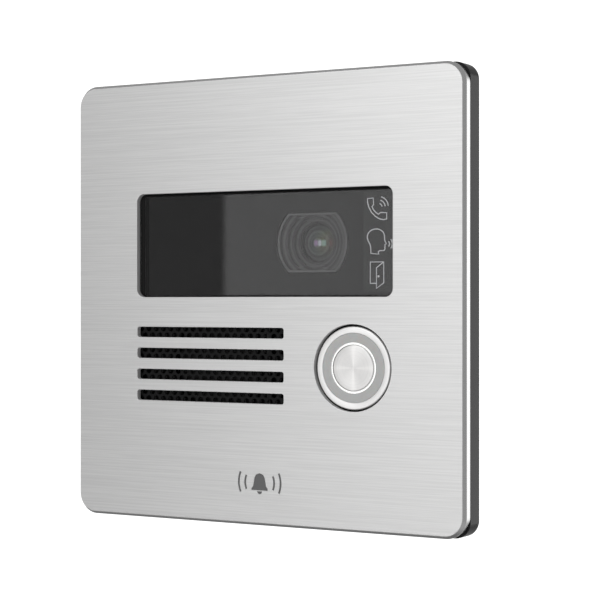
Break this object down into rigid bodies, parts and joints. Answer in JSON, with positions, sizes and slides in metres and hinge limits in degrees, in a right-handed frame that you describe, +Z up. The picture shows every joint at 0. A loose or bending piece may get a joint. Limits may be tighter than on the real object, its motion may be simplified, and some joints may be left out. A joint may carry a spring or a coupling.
{
  "type": "door intercom panel",
  "caption": "Flush square door intercom panel with a brushed plate, camera window, speaker grille and call button, hung on a wall bracket.",
  "frame": {"origin": "centre of the wall plane that the bracket is screwed to", "axes": "+X to the right seen from the front, +Y into the wall, +Z up"},
  "size_m": [0.12, 0.0349, 0.12],
  "materials": {
    "brushed_steel": "satin stainless sheet, brushed in fine horizontal lines, with a darker chamfer",
    "spun_steel": "satin turned stainless with fine circular lines",
    "zinc_steel": "bright zinc plated steel",
    "dark_steel": "dark coated steel",
    "yellow_zinc": "yellow passivated screw",
    "black_plastic": "black moulded plastic with a fine grain",
    "grey_plastic": "dark grey moulded plastic",
    "black_rubber": "soft black rubber",
    "smoked_glass": "smoked pane with a ground edge",
    "lens_glass": "coated lens glass",
    "clear_plastic": "clear light guide, frosted at its face",
    "ring_diffuser": "matt grey light ring",
    "circuit_board": "green solder mask over glass laminate",
    "paper_cone": "black pressed paper",
    "ferrite": "dark sintered magnet",
    "flex_film": "amber polyimide film"
  },
  "bodies": {
    "wall_bracket": {"wall_bracket": "zinc_steel", "wall_screw_1": "yellow_zinc", "wall_screw_2": "yellow_zinc", "wall_screw_3": "yellow_zinc", "wall_screw_4": "yellow_zinc"},
    "front_unit": {"front_plate": "brushed_steel", "window": "smoked_glass", "window_gasket": "black_rubber", "camera_carrier": "black_plastic", "icon_light_guide": "clear_plastic", "camera_flex_cable": "flex_film", "chassis": "black_plastic", "plate_nut_1": "zinc_steel", "plate_nut_2": "zinc_steel", "plate_nut_3": "zinc_steel", "plate_nut_4": "zinc_steel", "lens_hood": "grey_plastic", "lens_barrel": "black_plastic", "lens_front_element": "lens_glass", "lens_rear_element": "lens_glass", "camera_housing": "dark_steel", "camera_board": "circuit_board", "image_sensor": "dark_steel", "camera_screw_1": "zinc_steel", "camera_screw_2": "zinc_steel", "speaker_mesh": "black_plastic", "speaker_gasket": "black_rubber", "speaker_frame": "dark_steel", "speaker_cone": "paper_cone", "speaker_magnet": "ferrite", "microphone_boot": "black_rubber", "microphone_capsule": "zinc_steel", "button_bezel": "spun_steel", "bezel_gasket": "black_rubber", "button_nut": "zinc_steel", "guide_collar": "spun_steel", "button_led_ring": "ring_diffuser", "led_ring_board": "circuit_board", "return_spring": "zinc_steel", "button_switch": "black_plastic", "button_board": "circuit_board", "main_board": "circuit_board", "processor": "black_plastic", "network_transformer": "black_plastic", "relay": "black_plastic", "network_jack": "zinc_steel", "io_terminal_header": "grey_plastic", "reset_switch_body": "black_plastic", "rear_housing": "black_plastic", "rear_seal": "black_rubber", "rear_screw_1": "zinc_steel", "rear_screw_2": "zinc_steel", "rear_screw_3": "zinc_steel", "rear_screw_4": "zinc_steel", "security_screw": "dark_steel", "security_nut": "zinc_steel"},
    "call_button": {"button_cap": "spun_steel", "button_seal": "black_rubber", "button_clip": "zinc_steel"},
    "reset_button": {"reset_button": "grey_plastic"}
  },
  "joints": [
    {"name": "bracket_swing", "type": "hinge", "parent": "wall_bracket", "child": "front_unit", "pos_m": [0, -0.002, 0.0585], "axis": [-1, 0, 0], "range_deg": [0, 30]},
    {"name": "call_button_press", "type": "slide", "parent": "front_unit", "child": "call_button", "axis": [0, 1, 0], "range_m": [0, 0.0012], "stiffness_N_per_m": 1500, "springref_m": -0.002, "deforming": ["return_spring"]},
    {"name": "reset_button_press", "type": "slide", "parent": "front_unit", "child": "reset_button", "axis": [0, -1, 0], "range_m": [0, 0.0004], "stiffness_N_per_m": 2000, "springref_m": -0.0008}
  ]
}
